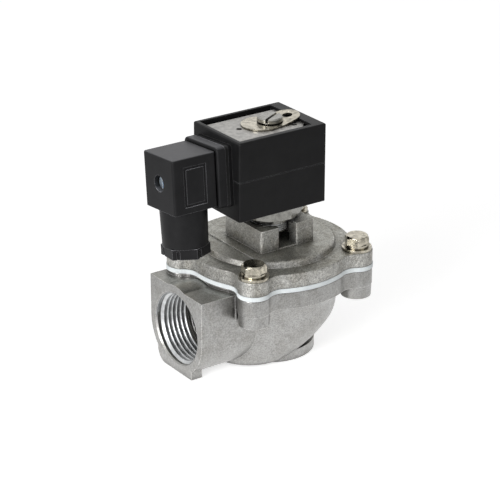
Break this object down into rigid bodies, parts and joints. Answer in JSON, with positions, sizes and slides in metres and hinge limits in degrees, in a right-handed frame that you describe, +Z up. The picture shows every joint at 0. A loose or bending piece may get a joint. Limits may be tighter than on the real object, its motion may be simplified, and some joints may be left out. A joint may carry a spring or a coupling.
{
  "type": "pulse valve",
  "caption": "Right-angle solenoid diaphragm valve that lets out short bursts of compressed air to clean a dust collector's filters.",
  "frame": {"origin": "centre of the outlet mouth, on its end face", "axes": "+Z up the valve axis, away from the outlet; -X out of the inlet mouth; the cable connector is on the same side as the inlet"},
  "size_m": [0.0973, 0.0756, 0.1112],
  "materials": {
    "cast_body": "satin",
    "cast_cover": "satin",
    "white_rubber": "matte",
    "plate_steel": "satin",
    "seal_rubber": "matte",
    "spring_steel": "satin",
    "plated_steel": "satin",
    "tube_steel": "satin",
    "frame_steel": "satin",
    "bobbin_plastic": "matte",
    "winding_copper": "satin",
    "coil_black": "matte",
    "blade_brass": "satin",
    "gasket_black": "matte",
    "plug_black": "matte",
    "zinc_steel": "satin"
  },
  "bodies": {
    "valve": {"valve_body": "cast_body", "main_diaphragm": "white_rubber", "main_spring": "spring_steel", "cover": "cast_cover", "cover_bolts": "plated_steel", "lock_washers": "plated_steel", "flat_washers": "plated_steel", "core_tube": "tube_steel", "fixed_core": "tube_steel", "plunger_spring": "spring_steel", "coil_base_seal": "seal_rubber", "magnet_frame": "frame_steel", "bobbin": "bobbin_plastic", "winding": "winding_copper", "coil_housing": "coil_black", "retaining_clip": "plated_steel", "terminal_blades": "blade_brass", "connector_gasket": "gasket_black", "plug_housing": "plug_black", "plug_insert": "plug_black", "plug_screw": "zinc_steel", "gland_nut": "plug_black", "gland_washer": "zinc_steel", "gland_grommet": "seal_rubber"},
    "main_valve": {"diaphragm_plate": "plate_steel", "seat_disc": "seal_rubber", "clamp_rivet": "plate_steel"},
    "pilot_plunger": {"plunger": "tube_steel", "plunger_seal": "seal_rubber"}
  },
  "joints": [
    {"name": "main_valve_lift", "type": "slide", "parent": "valve", "child": "main_valve", "axis": [0, 0, 1], "range_m": [0, 0.005], "stiffness_N_per_m": 900, "springref_m": -0.008, "deforming": ["main_spring", "main_diaphragm"]},
    {"name": "plunger_lift", "type": "slide", "parent": "valve", "child": "pilot_plunger", "axis": [0, 0, 1], "range_m": [0, 0.0018], "stiffness_N_per_m": 600, "springref_m": -0.006, "deforming": ["plunger_spring"]}
  ]
}
